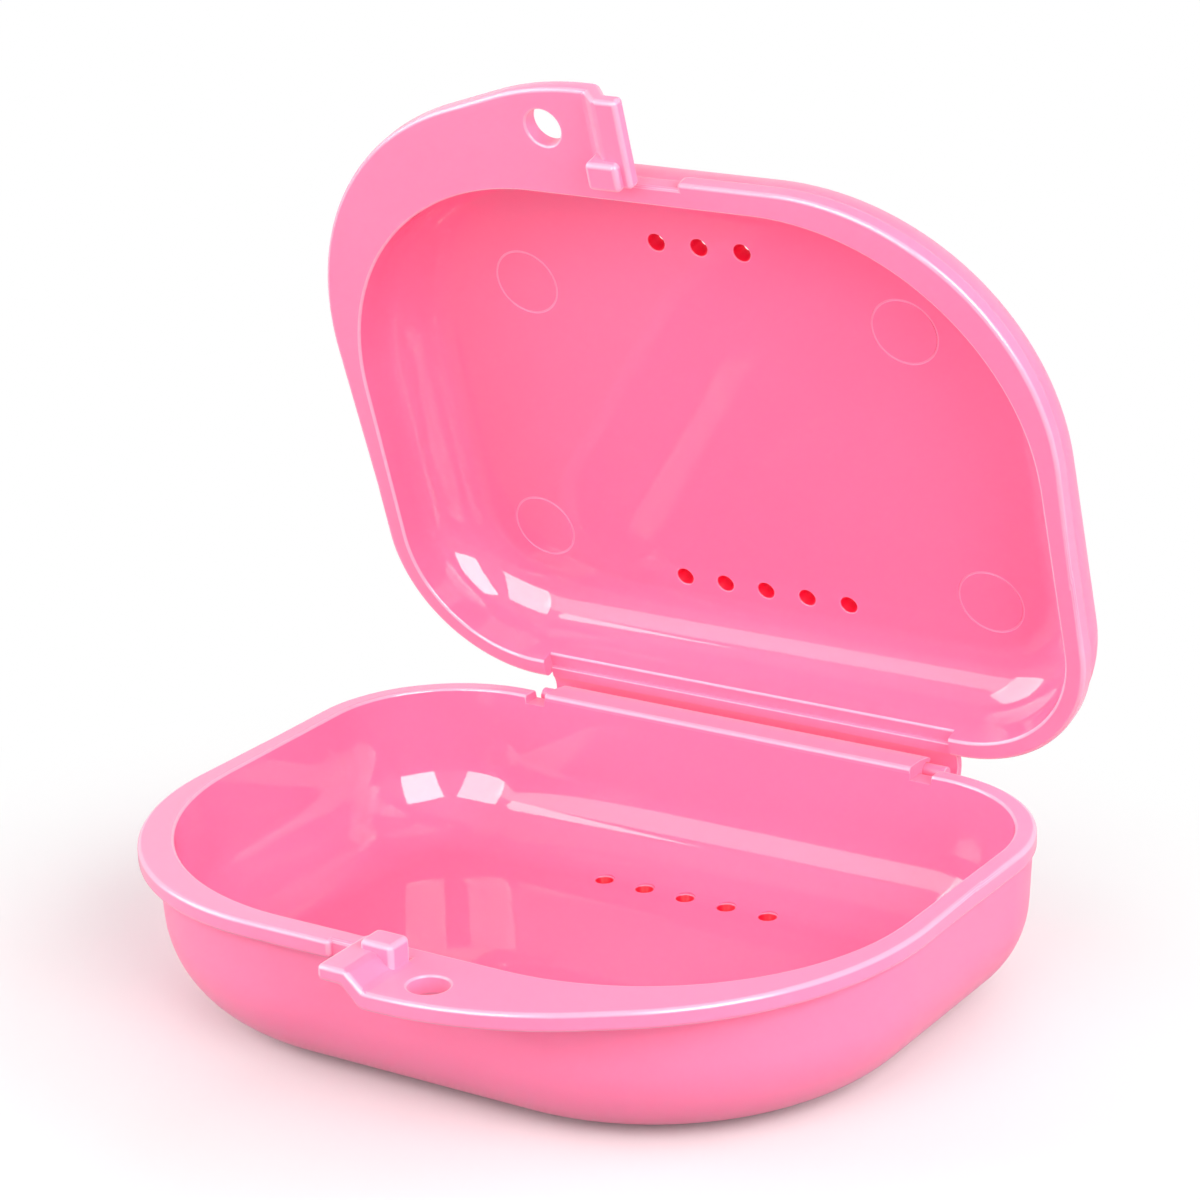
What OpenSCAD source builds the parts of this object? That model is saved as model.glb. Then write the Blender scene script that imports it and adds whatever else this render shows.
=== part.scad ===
// Orthodontic retainer case: a base tray and a lid, two mouldings that snap together on a long hinge.
// Millimetres. X is the width, Y runs from the lobed front to the hinge at the back, Z is up.
// The base's foot stands on Z = 0. The lid is drawn standing open.

/* [Cavity] */
// half of the cavity's width
cav_half_w = 37.65; // [33:0.05:46]
// half of the cavity's length, from the front wall to the hinge wall
cav_half_l = 28.35; // [26:0.05:36]
// radius of the cavity's back corners
back_r = 13.2; // [12.6:0.1:15]
// radius of the cavity's front corners
front_r = 25.6; // [20:0.1:27]

/* [Walls] */
// outside depth of the base below the parting plane
base_h = 16.3; // [14:0.1:22]
// outside height of the lid above the parting plane
lid_h = 9.8; // [9:0.1:14]
// wall thickness
wall_t = 1.8; // [1.4:0.1:2.4]
// floor thickness
floor_t = 1.5; // [1.2:0.1:2.4]
// draft of the walls, in degrees
draft = 3.4; // [1:0.1:5]
// outside radius between the base's walls and its floor
base_edge_r = 9.6; // [6:0.1:11]
// outside radius between the lid's walls and its top
lid_edge_r = 7.6; // [5:0.1:8.2]
// how far a rounding overshoots its tangent, so that it meets the straight beside it in a clear line
edge_ease = 0.02; // [0.01:0.005:0.04]
// distance from a back corner's centre to where the rounded floor ends
floor_core = 1.2; // [1:0.1:1.6]
// overlap of the flat middle of the floor with the rounded floor
floor_lap = 1.5; // [1:0.1:2]

/* [Flange] */
// width of the rim that runs all round the cavity
rim_w = 2.05; // [1.9:0.05:3]
// thickness of the rim and of the flange
flange_t = 1.8; // [1.4:0.1:2.4]
// radius of the narrow flange's corner
narrow_r = 25.5; // [23:0.1:29]
// how far the narrow flange reaches past the cavity at the front
narrow_reach = 2.65; // [2.3:0.05:5]
// how far the narrow flange reaches past the cavity at the side
narrow_side = 2.25; // [2.1:0.05:4]
// radius of the base lobe's corners
base_lobe_r = 33; // [28:0.1:36]
// how far the base's lobe reaches past the cavity at the front
base_lobe_reach = 9.75; // [8:0.05:14]
// how far the base's lobe reaches past the cavity at the side
base_lobe_side = 2.25; // [1:0.05:4]
// where the base lobe's side edge ends, behind the front of the cavity
base_lobe_back = 24.95; // [20:0.05:30]
// radius of the lid lobe's corners
lid_lobe_r = 29.8; // [26:0.1:33]
// how far the lid's lobe reaches past the cavity at the front
lid_lobe_reach = 11.45; // [9:0.05:16]
// how far the lid's lobe reaches past the cavity at the side
lid_lobe_side = 2.55; // [1:0.05:4]
// where the lid lobe's side edge ends, behind the front of the cavity
lid_lobe_back = 20.4; // [16:0.05:25]
// where the lobe's front edge starts to curve, from the middle
lobe_front_x = 4.4; // [3:0.1:8]

/* [Latch] */
// offset of the latch's parting line from the middle
latch_x = 0.25; // [-2:0.05:2]
// gap between the two latch ends when they pass each other
latch_gap = 0.3; // [0.2:0.05:0.8]
// height of the raised latch end above the parting plane
latch_rise = 1.6; // [1.4:0.05:3]
// width of the raised end's flat
latch_flat = 1.75; // [1:0.05:3]
// width of the ramp beside the flat
latch_ramp = 1.75; // [1:0.05:3]
// how far the ramp's underside stands in from its top side
latch_slant = 0.6; // [0.4:0.05:0.9]
// how far the latch end runs into the flange beside it
latch_lap = 0.2; // [0.1:0.05:0.4]
// width of the window that takes the other half's latch end
window_w = 5.3; // [4.8:0.1:8]
// height of the thumb block above the parting plane
block_h = 2.45; // [2:0.05:4]
// width of the thumb block
block_w = 3.5; // [2.5:0.1:4]
// length of the thumb block, front to back
block_l = 2.9; // [2:0.1:4]
// gap between the thumb block and the other half's rim
block_gap = 0.3; // [0.2:0.05:0.8]

/* [Hinge] */
// angle of the open lid, from closed, in degrees
lid_open = 73.2; // [0:0.1:100]
// distance of the hinge axis behind the cavity
axis_back = 3.45; // [3.2:0.05:4.2]
// depth of the hinge axis below the parting plane
axis_drop = 1.05; // [0.8:0.05:1.4]
// radius of the bead on the lid's leaf
bead_r = 0.75; // [0.6:0.05:1]
// running gap between the bead and the base's groove
bead_gap = 0.05; // [0.02:0.01:0.08]
// wall of the base's groove
groove_t = 0.5; // [0.4:0.05:0.7]
// where the groove's upper lip ends, degrees up from the back
lip_top = 40; // [35:1:50]
// where the groove's lower lip ends, degrees round from the back
lip_low = 240; // [230:1:245]
// gap between the groove and the leaf that swings over it
leaf_gap = 0.95; // [0.7:0.05:1.2]
// height of the hinge strip's flat top above the parting plane
strip_rise = 0.45; // [0.3:0.05:0.8]
// width of the hinge strip's flat top
strip_w = 2.15; // [1.6:0.05:2.6]
// gap above the hinge strip when the lid is shut
strip_gap = 0.55; // [0.3:0.05:0.7]
// thickness of the leaf
leaf_t = 0.85; // [0.7:0.05:1]
// distance of the leaf's front edge behind the cavity
leaf_step = 1; // [0.8:0.05:1.1]
// how far the leaf stands out below the recess in the lid's rim
leaf_lip = 0.4; // [0.2:0.05:0.6]
// where the leaf's lower end meets the bead, degrees below the level of the axis
join_low = 15; // [10:1:20]
// where the leaf's upper side meets the bead, degrees above the level of the axis
join_top = 25; // [20:1:30]
// half of the base's hinge strip
strip_half = 21.2; // [18:0.1:22]
// half of the lid's leaf and bead
leaf_half = 23.5; // [21:0.1:24.4]
// depth of the notch at each end of the hinge strip
notch_d = 0.9; // [0.7:0.1:1.4]

/* [Holes] */
// radius of the lanyard hole in each lobe
lanyard_r = 2.05; // [1.5:0.05:2.6]
// lanyard hole in the base: distance from the middle
base_lanyard_x = 8.05; // [7:0.05:12]
// lanyard hole in the base: distance past the cavity
base_lanyard_y = 5.7; // [5:0.1:8]
// lanyard hole in the lid: distance from the middle
lid_lanyard_x = 8.85; // [7:0.05:12]
// lanyard hole in the lid: distance past the cavity
lid_lanyard_y = 7.05; // [5:0.05:9]
// radius of a vent hole
vent_r = 0.95; // [0.6:0.05:1.4]
// spacing of the vent holes
vent_pitch = 4.75; // [3.5:0.05:6]
// back row of five vents, behind the middle
vent_back_y = 20.65; // [14:0.05:21]
// front row of three vents, in front of the middle
vent_front_y = 19.05; // [14:0.05:20]

/* [Ejector marks in the lid] */
// radius of a mark
mark_r = 3.45; // [2:0.05:5]
// width of its line
mark_w = 0.25; // [0.15:0.05:0.6]
// depth of its line
mark_d = 0.1; // [0.05:0.05:0.3]
// front pair: distance to each side of the middle
mark_front_x = 21.1; // [18:0.1:24]
// front pair: distance in front of the middle
mark_front_y = 12.6; // [8:0.1:14]
// back pair: distance to each side of the middle
mark_back_x = 25.8; // [20:0.1:27]
// back pair: distance behind the middle
mark_back_y = 17.2; // [14:0.1:18]

/* [Hidden] */
$fn = 96;
// how far the rounded floor and the flat floor start inside the cavity's edge
sweep_in = back_r - floor_core;
plate_in = sweep_in - floor_lap;
// centres of the right back and right front corners
back_c = [cav_half_w - back_r, cav_half_l - back_r];
front_c = [cav_half_w - front_r, front_r - cav_half_l];
// hinge axis, groove, leaf
axis_y = cav_half_l + axis_back;
axis_z = -axis_drop;
groove_r = bead_r + bead_gap;
clip_r = groove_r + groove_t;
leaf_in_r = clip_r + leaf_gap;
leaf_out_r = leaf_in_r + leaf_t;
leaf_under = strip_rise + strip_gap;
// reach of the wedges that open the groove and the leaf
wedge_l = 3 * leaf_out_r;

// a ray of the given length and angle
function ray(a, l) = [l * cos(a), l * sin(a)];

// outline of the cavity moved out by o: four corner circles and the polygon between their tangent points
module outline(o) {
    right = [
        [front_c.x, -cav_half_l - o],
        [cav_half_w + o, front_c.y],
        [cav_half_w + o, back_c.y],
        [back_c.x, cav_half_l + o]
    ];
    left = [for (i = [3:-1:0]) [-right[i].x, right[i].y]];
    polygon(concat(right, left));
    for (s = [-1, 1]) {
        translate([s * back_c.x, back_c.y])
            circle(back_r + o);
        translate([s * front_c.x, front_c.y])
            circle(front_r + o);
    }
}

// section of a bowl h deep: a drafted wall that starts o outside the cavity's edge, and an edge radius r
module bowl_section(h, r, o, over) {
    c = [o - tan(draft) * (h - r + r * sin(draft)) - r * cos(draft), r - h];
    foot = [o - tan(draft) * h, -h];
    difference() {
        polygon([
            [-sweep_in - over, over],
            [o + tan(draft) * over, over],
            foot,
            [-sweep_in - over, -h]
        ]);
        difference() {
            polygon([c, c + ray(-draft, 2 * r), [c.x + 2 * r, -2 * h], [c.x, -2 * h]]);
            translate(c)
                circle(r + edge_ease);
        }
    }
}

// section of the shell: wall, edge and the outer part of the floor
module shell_section(h, r) {
    difference() {
        bowl_section(h, r, wall_t, 0);
        bowl_section(h - floor_t, r - (wall_t + floor_t) / 2, 0, 1);
    }
}

// sweeps a section along a straight of the cavity's edge; turn is the direction it faces
module run(x, y, turn, length) {
    translate([x, y, 0])
        rotate([90, 0, turn])
            linear_extrude(length)
                children();
}

// sweeps a section round a corner of the cavity's edge
module corner(x, y, r, turn) {
    translate([x, y, 0])
        rotate([0, 0, turn])
            rotate_extrude(angle = 90)
                translate([r, 0])
                    children();
}

// open bowl of the given depth, its edge on Z = 0
module shell(h, r) {
    run(cav_half_w, back_c.y, 0, back_c.y - front_c.y)
        shell_section(h, r);
    corner(back_c.x, back_c.y, back_r, 0)
        shell_section(h, r);
    run(-back_c.x, cav_half_l, 90, 2 * back_c.x)
        shell_section(h, r);
    corner(-back_c.x, back_c.y, back_r, 90)
        shell_section(h, r);
    run(-cav_half_w, front_c.y, 180, back_c.y - front_c.y)
        shell_section(h, r);
    corner(-front_c.x, front_c.y, front_r, 180)
        shell_section(h, r);
    run(front_c.x, -cav_half_l, 270, 2 * front_c.x)
        shell_section(h, r);
    corner(front_c.x, front_c.y, front_r, 270)
        shell_section(h, r);
    translate([0, 0, -h])
        linear_extrude(floor_t)
            outline(-plate_in);
}

// narrow flange on the left of the front
module narrow_plan() {
    x = narrow_r - cav_half_w - narrow_side;
    y = narrow_r - cav_half_l - narrow_reach;
    translate([x, y])
        circle(narrow_r);
    translate([x, y - narrow_r])
        square([-x, narrow_r]);
}

// lobe on the right of the front: two corner circles, the edge between them and the front edge
module lobe_plan(r, reach, side, back) {
    a = [lobe_front_x, r - cav_half_l - reach];
    b = [cav_half_w + side - r, back - cav_half_l];
    n = [b.y - a.y, a.x - b.x] / norm(b - a);
    translate(a)
        circle(r);
    translate(b)
        circle(r);
    polygon([[0, 0], [0, a.y - r], [a.x, a.y - r], a + (r - edge_ease) * n, b + (r - edge_ease) * n, b]);
}

// flange of one half: rim all round, narrow flange on the left, lobe on the right, window between them
module flange(lobe_r, reach, side, back, split_x) {
    translate([0, 0, -flange_t])
        linear_extrude(flange_t)
            difference() {
                union() {
                    outline(rim_w);
                    difference() {
                        union() {
                            narrow_plan();
                            intersection() {
                                lobe_plan(lobe_r, reach, side, back);
                                translate([0, -2 * cav_half_l])
                                    square([2 * cav_half_w, 2 * cav_half_l + back_c.y]);
                            }
                        }
                        translate([split_x + latch_gap / 2 - window_w, -2 * cav_half_l])
                            square([window_w + latch_flat + latch_ramp, 2 * cav_half_l]);
                    }
                }
                outline(wall_t / 2);
            }
}

// raised latch end and its thumb block
module latch(reach, split_x) {
    x0 = split_x + latch_gap / 2;
    x1 = x0 + latch_flat;
    x2 = x1 + latch_ramp;
    under = latch_rise - flange_t;
    back = -cav_half_l - rim_w - block_gap;
    front = -cav_half_l - reach;
    translate([0, back, 0])
        rotate([90, 0, 0])
            linear_extrude(back - front)
                polygon([
                    [x0, under],
                    [x1 - latch_slant, under],
                    [x2 - latch_slant, -flange_t],
                    [x2 + latch_lap, -flange_t],
                    [x2 + latch_lap, 0],
                    [x2, 0],
                    [x1, latch_rise],
                    [x0, latch_rise]
                ]);
    translate([0, back, 0])
        rotate([90, 0, 0])
            linear_extrude(block_l)
                polygon([
                    [x0, under],
                    [x1 - latch_slant, under],
                    [x2 - latch_slant, -flange_t],
                    [x0 + block_w, -flange_t],
                    [x0 + block_w, block_h],
                    [x0, block_h]
                ]);
}

// five vents near the hinge and three near the front
module vents(h) {
    for (i = [-2:2])
        translate([i * vent_pitch, vent_back_y, -h - 1])
            cylinder(h = floor_t + 3, r = vent_r);
    for (i = [-1:1])
        translate([i * vent_pitch, -vent_front_y, -h - 1])
            cylinder(h = floor_t + 3, r = vent_r);
}

// one half, its edge on Z = 0 and its bowl below
module half(h, edge_r, lobe_r, reach, side, back, split_x, hole_x, hole_y) {
    difference() {
        union() {
            shell(h, edge_r);
            flange(lobe_r, reach, side, back, split_x);
            latch(reach, split_x);
        }
        vents(h);
        translate([hole_x, -cav_half_l - hole_y, -flange_t - 1])
            cylinder(h = flange_t + 2, r = lanyard_r);
    }
}

// section of the base's hinge strip and groove, in Y and Z
module strip_section() {
    difference() {
        union() {
            polygon([
                [cav_half_l, axis_z],
                [cav_half_l, strip_rise],
                [cav_half_l + strip_w, strip_rise],
                [axis_y, axis_z + clip_r],
                [axis_y, axis_z]
            ]);
            translate([cav_half_l + wall_t / 2, axis_z - clip_r * sin(lip_low - 180)])
                square([axis_back - wall_t / 2 - groove_r, clip_r * sin(lip_low - 180)]);
            translate([axis_y, axis_z])
                circle(clip_r);
        }
        translate([axis_y, axis_z]) {
            circle(groove_r);
            polygon([[0, 0], ray(lip_top, wedge_l), ray(0, wedge_l), ray(-45, wedge_l), ray(lip_low, wedge_l)]);
        }
    }
}

// section of the lid's leaf, which runs over the strip, round behind it and into the bead
module leaf_section() {
    translate([axis_y, axis_z]) {
        circle(bead_r);
        intersection() {
            circle(leaf_out_r);
            polygon([[0, 0], ray(-join_low, wedge_l), ray(join_top, wedge_l)]);
        }
        difference() {
            union() {
                circle(leaf_out_r);
                translate([leaf_step - axis_back, 0])
                    square([axis_back - leaf_step, leaf_under - axis_z + leaf_t]);
            }
            circle(leaf_in_r);
            polygon([[0, 0], ray(-join_low, wedge_l), ray(-60, wedge_l), ray(-120, wedge_l), ray(180, wedge_l)]);
            translate([-wedge_l, -wedge_l])
                square([wedge_l, wedge_l + leaf_under - axis_z]);
        }
    }
}

// runs a section in Y and Z along the hinge
module along_hinge(half_l) {
    translate([-half_l, 0, 0])
        rotate([90, 0, 90])
            linear_extrude(2 * half_l)
                children();
}

// base tray: bowl, flange with lobe and latch, hinge strip with its groove
module base() {
    color("#ff86b2")
        translate([0, 0, base_h]) {
            difference() {
                half(base_h, base_edge_r, base_lobe_r, base_lobe_reach, base_lobe_side, base_lobe_back, latch_x,
                    base_lanyard_x, base_lanyard_y);
                for (s = [-1, 1])
                    translate([s * (strip_half + leaf_half) / 2, cav_half_l + rim_w / 2, 0])
                        cube([leaf_half - strip_half, 2 * rim_w, 2 * notch_d], center = true);
            }
            along_hinge(strip_half)
                strip_section();
        }
}

// lid in the shut pose, its edge on Z = 0
module lid_shut() {
    difference() {
        rotate([0, 180, 0])
            half(lid_h, lid_edge_r, lid_lobe_r, lid_lobe_reach, lid_lobe_side, lid_lobe_back, -latch_x,
                lid_lanyard_x, lid_lanyard_y);
        translate([-leaf_half, cav_half_l - 1, -1])
            cube([2 * leaf_half, rim_w + 2, 1 + leaf_under + leaf_lip]);
        for (s = [-1, 1])
            for (p = [[mark_front_x, -mark_front_y], [mark_back_x, mark_back_y]])
                translate([s * p.x, p.y, lid_h - floor_t - 1])
                    difference() {
                        cylinder(h = 1 + mark_d, r = mark_r + mark_w / 2);
                        cylinder(h = 3, r = mark_r - mark_w / 2);
                    }
    }
    along_hinge(leaf_half)
        leaf_section();
}

// lid: bowl, flange with lobe and latch, leaf and bead, turned open about the hinge axis
module lid() {
    color("#ff8ab6")
        translate([0, axis_y, base_h + axis_z])
            rotate([-lid_open, 0, 0])
                translate([0, -axis_y, -axis_z])
                    lid_shut();
}

base();
lid();
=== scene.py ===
"""Looks of an orthodontic retainer case: two glossy pink mouldings that snap together on a long hinge.

A half is drawn in millimetres with its rim's face at height 0 and its bowl below. The lid is then turned
over on to the base, both get their side of the hinge, and the lid swings open into the row's frame.
"""

import logging
import math
from abc import ABC, abstractmethod
from dataclasses import dataclass, field
from enum import Enum
from typing import Any, Iterable, Sequence

import bmesh
import bpy
from bmesh.types import BMEdge, BMesh, BMFace, BMVert
from mathutils import Euler, Matrix, Vector

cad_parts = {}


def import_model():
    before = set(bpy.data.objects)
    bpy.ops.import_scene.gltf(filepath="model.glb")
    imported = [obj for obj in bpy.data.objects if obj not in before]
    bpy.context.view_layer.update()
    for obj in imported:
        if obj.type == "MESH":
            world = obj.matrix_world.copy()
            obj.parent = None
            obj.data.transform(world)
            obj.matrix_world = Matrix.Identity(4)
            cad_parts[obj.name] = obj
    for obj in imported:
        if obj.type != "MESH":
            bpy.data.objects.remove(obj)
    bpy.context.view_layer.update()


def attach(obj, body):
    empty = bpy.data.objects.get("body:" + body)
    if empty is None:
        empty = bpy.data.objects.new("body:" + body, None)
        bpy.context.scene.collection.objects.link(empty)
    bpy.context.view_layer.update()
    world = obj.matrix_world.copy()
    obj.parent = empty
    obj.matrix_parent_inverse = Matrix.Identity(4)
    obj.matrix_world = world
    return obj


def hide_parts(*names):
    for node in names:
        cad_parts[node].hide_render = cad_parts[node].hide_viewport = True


log = logging.getLogger("retainer_case")

MM = 0.001
ACROSS = Vector((1, 0, 0))
BACKWARDS = Vector((0, 1, 0))
UP = Vector((0, 0, 1))
SHARP = math.radians(28)  # faces that turn by more than this meet in a sharp edge
WELD = 1e-4  # points closer than this are one, in millimetres
STRIP_W = 0.3  # widest strip of a rounded edge, in millimetres
FACES_DOWN = -0.2  # cosine past which a face looks down
HIGHLIGHT_MARK = "painted_edge_highlight"  # attribute that marks the rounded edges for their painted highlight
FLAT_WEIGHT = 90  # how much large faces outweigh small ones in the smooth shading
SAME_AREA = 1e-7  # faces whose areas differ by less weigh the same, in square metres
MIX_A, MIX_B, MIX_OUT = 6, 7, 2  # numbers of the Mix node's colour sockets


class Side(Enum):
    """The two mouldings, by the name of the CAD body and node that each stands for."""

    BASE = "base"
    LID = "lid"


class Boolean(Enum):
    """How a tool changes a solid."""

    JOIN = "UNION"
    CUT = "DIFFERENCE"


class Polish(Enum):
    """Surface of the mould that shaped a face, by material index."""

    RIM = 0
    OUTSIDE = 1
    INSIDE = 2
    PIN = 3
    EJECTOR = 4


# Mesh tools


@dataclass
class Pen:
    """Draws a chain of edges: straight strokes are extrusions of its tip, and round ones are spins."""

    bm: BMesh
    axis: Vector
    trail: list[BMVert] = field(default_factory=list)

    def start(self, at: Sequence[float]) -> "Pen":
        """Puts the pen down on a point and returns it."""
        self.trail.append(self.bm.verts.new(at))
        return self

    def line(self, to: Sequence[float]) -> "Pen":
        """Draws a straight stroke.

        Args:
            to: where it ends.

        Returns:
            The pen, with its tip at the stroke's end.
        """
        made = bmesh.ops.extrude_vert_indiv(self.bm, verts=[self.trail[-1]])["verts"][0]
        made.co = to
        self.trail.append(made)
        return self

    def arc(self, centre: Sequence[float], degrees: float, steps: int) -> "Pen":
        """Draws a round stroke.

        Args:
            centre: centre of the arc.
            degrees: turn about the pen's axis, by the right-hand rule.
            steps: number of edges in the arc.

        Returns:
            The pen, with its tip at the arc's end.
        """
        turn = math.radians(degrees / steps)
        for _ in range(steps):
            made = bmesh.ops.spin(
                self.bm, geom=[self.trail[-1]], cent=centre, axis=self.axis, angle=turn, steps=1
            )
            self.trail.append(next(g for g in made["geom_last"] if isinstance(g, BMVert)))
        return self

    def chain(self) -> list[BMVert | BMEdge]:
        """Returns the points and edges drawn so far."""
        pairs = zip(self.trail, self.trail[1:])
        return self.trail + [edge for pair in pairs if (edge := self.bm.edges.get(pair))]

    def extrude(self, along: Vector) -> BMesh:
        """Fills the closed outline and extrudes it.

        Args:
            along: how far, and which way.

        Returns:
            The solid.
        """
        face = self.bm.faces.new(self.trail)
        made = bmesh.ops.extrude_face_region(self.bm, geom=[face], use_keep_orig=True)
        moved = [g for g in made["geom"] if isinstance(g, BMVert)]
        bmesh.ops.translate(self.bm, verts=moved, vec=along)
        bmesh.ops.recalc_face_normals(self.bm, faces=self.bm.faces[:])
        return self.bm

    def turn_solid(self, foot: Sequence[float], steps: int) -> BMesh:
        """Spins the chain about an upright axis and caps its ends.

        Args:
            foot: a point on the axis.
            steps: number of facets round the axis.

        Returns:
            The solid.
        """
        bmesh.ops.spin(
            self.bm, geom=self.chain(), cent=foot, axis=UP, angle=math.tau, steps=steps, use_merge=True
        )
        return closed(self.bm)


def closed(bm: BMesh) -> BMesh:
    """Closes a swept shell.

    Args:
        bm: the shell, which may have doubles, open ends and faces that look inwards.

    Returns:
        The same mesh, now a solid.
    """
    bmesh.ops.remove_doubles(bm, verts=bm.verts[:], dist=WELD)
    bmesh.ops.holes_fill(bm, edges=[e for e in bm.edges if e.is_boundary], sides=0)
    bmesh.ops.recalc_face_normals(bm, faces=bm.faces[:])
    return bm


def is_near(edge: BMEdge, at: Vector, size: float) -> bool:
    """Tells whether both ends of an edge are within a distance of a point."""
    return all((vert.co - at).length < size for vert in edge.verts)


def rounded(bm: BMesh, radius: float, steps: int, spots: Sequence[tuple[Vector, float]] = ()) -> BMesh:
    """Rounds the sharp edges of a solid.

    Args:
        bm: the solid.
        radius: width of the rounding.
        steps: number of strips in it.
        spots: middles and sizes of the places where outward edges alone are rounded; none means everywhere.

    Returns:
        The same mesh.
    """
    sharp = [e for e in bm.edges if e.is_manifold and e.calc_face_angle() > SHARP]
    if spots:
        sharp = [e for e in sharp if e.is_convex and any(is_near(e, *spot) for spot in spots)]
    bmesh.ops.bevel(
        bm,
        geom=sharp,
        offset=radius,
        offset_type="OFFSET",
        segments=steps,
        profile=0.5,
        affect="EDGES",
        clamp_overlap=True,
        material=-1,
    )
    return bm


def box(low: Sequence[float], high: Sequence[float]) -> BMesh:
    """Makes a box.

    Args:
        low: its lowest corner.
        high: its highest corner.

    Returns:
        The solid.
    """
    bm = bmesh.new()
    a, b = Vector(low), Vector(high)
    bmesh.ops.create_cube(bm, size=1)
    bmesh.ops.scale(bm, vec=b - a, verts=bm.verts[:])
    bmesh.ops.translate(bm, vec=(b + a) / 2, verts=bm.verts[:])
    return bm


def as_object(bm: BMesh, name: str) -> bpy.types.Object:
    """Puts a mesh into the scene.

    Args:
        bm: the mesh, which is freed.
        name: the object's name.

    Returns:
        The object.
    """
    mesh = bpy.data.meshes.new(name)
    bm.to_mesh(mesh)
    bm.free()
    made = bpy.data.objects.new(name, mesh)
    bpy.context.scene.collection.objects.link(made)
    return made


def shaped(body: BMesh, tools: Iterable[BMesh], how: Boolean) -> BMesh:
    """Joins tools to a solid or cuts them out of it.

    Args:
        body: the solid, which is freed.
        tools: the tools, which are freed.
        how: join or cut.

    Returns:
        The changed solid.
    """
    target = as_object(body, "solid")
    for tool in tools:
        operand = as_object(tool, "tool")
        step = target.modifiers.new("step", "BOOLEAN")
        step.operation = how.value
        step.solver = "MANIFOLD"
        step.object = operand
        depsgraph = bpy.context.evaluated_depsgraph_get()
        changed = bpy.data.meshes.new_from_object(target.evaluated_get(depsgraph))
        target.modifiers.clear()
        target.data = changed
        bpy.data.objects.remove(operand)
    result = bmesh.new()
    result.from_mesh(target.data)
    bpy.data.objects.remove(target)
    bmesh.ops.remove_doubles(result, verts=result.verts[:], dist=WELD)
    return result


def mark_edge_highlights(bm: BMesh, up: Vector) -> None:
    """Marks the middles of a solid's rounded edges for a painted highlight, apart from those that face down.

    Args:
        bm: the solid, in millimetres.
        up: which way its open side looks.
    """
    layer = bm.loops.layers.float.new(HIGHLIGHT_MARK)
    for edge in bm.edges:
        narrow = all(face.calc_area() < STRIP_W * edge.calc_length() for face in edge.link_faces)
        faces_up = all(face.normal.dot(up) > FACES_DOWN for face in edge.link_faces)
        if narrow and faces_up and SHARP / 2 < edge.calc_face_angle_signed(0.0) < 2 * SHARP:
            for loop in edge.link_loops:
                loop[layer] = loop.link_loop_next[layer] = 1.0


# Sizes, in millimetres and degrees


@dataclass(frozen=True)
class Cavity:
    """Plan of the cavity that both halves share: a rounded rectangle with wider front corners."""

    half_w: float = 37.65
    half_l: float = 28.35
    back_r: float = 13.2
    front_r: float = 25.6
    corner_steps: int = 36

    @property
    def back(self) -> Vector:
        """Centre of the right back corner."""
        return Vector((self.half_w - self.back_r, self.half_l - self.back_r, 0))

    @property
    def front(self) -> Vector:
        """Centre of the right front corner."""
        return Vector((self.half_w - self.front_r, self.front_r - self.half_l, 0))

    def sweep(self, bm: BMesh, section: list[BMVert | BMEdge]) -> None:
        """Sweeps a section all round the cavity.

        Args:
            bm: mesh that holds the section.
            section: its points and edges, drawn at the front end of the right side.
        """
        back, front = self.back, self.front
        side = back.y - front.y
        runs = (
            (BACKWARDS * side, back),
            (ACROSS * -2 * back.x, Vector((-back.x, back.y, 0))),
            (BACKWARDS * -side, Vector((-front.x, front.y, 0))),
            (ACROSS * 2 * front.x, front),
        )
        for along, centre in runs:
            edges = [g for g in section if isinstance(g, BMEdge)]
            made = bmesh.ops.extrude_edge_only(bm, edges=edges)["geom"]
            moved = [g for g in made if isinstance(g, BMVert)]
            bmesh.ops.translate(bm, verts=moved, vec=along)
            section = moved + [g for g in made if isinstance(g, BMEdge)]
            section = bmesh.ops.spin(
                bm, geom=section, cent=centre, axis=UP, angle=math.pi / 2, steps=self.corner_steps
            )["geom_last"]

    def holds(self, at: Vector, margin: float) -> bool:
        """Tells whether a point lies over the cavity's plan.

        Args:
            at: the point.
            margin: how much wider the plan is taken to be.

        Returns:
            True if it does.
        """
        x, y = abs(at.x), at.y
        if x > self.back.x and y > self.back.y:
            return math.hypot(x - self.back.x, y - self.back.y) < self.back_r + margin
        if x > self.front.x and y < self.front.y:
            return math.hypot(x - self.front.x, y - self.front.y) < self.front_r + margin
        return x < self.half_w + margin and abs(y) < self.half_l + margin


@dataclass(frozen=True)
class Walls:
    """Wall, rim and hole sizes that both halves share."""

    wall_t: float = 1.8
    floor_t: float = 1.5
    draft: float = 3.4  # lean of the walls
    rim_w: float = 2.05
    rim_gap: float = 0.02  # how far the rim's face stays clear of the parting plane
    rim_margin: float = 0.05  # how far under the flange a face still has the rim's finish
    flange_t: float = 1.8
    lip_round: float = 0.32
    lip_margin: float = 0.3  # how far past the cavity's plan a face can still be inside
    rim_round: float = 0.5
    ledge_round: float = 0.3
    round_steps: int = 4
    edge_steps: int = 18  # strips in the round between floor and wall
    vent_r: float = 0.92
    vent_out_r: float = 0.5  # radius at the outer end
    vent_round: float = 0.12
    vent_steps: int = 32
    vent_pitch: float = 4.75
    vent_back_y: float = 20.65
    vent_front_y: float = 19.05
    lanyard_r: float = 1.9
    lanyard_round: float = 0.25
    lanyard_steps: int = 56
    hole_clear: float = 0.4  # how far a hole's cutter stands out


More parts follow.
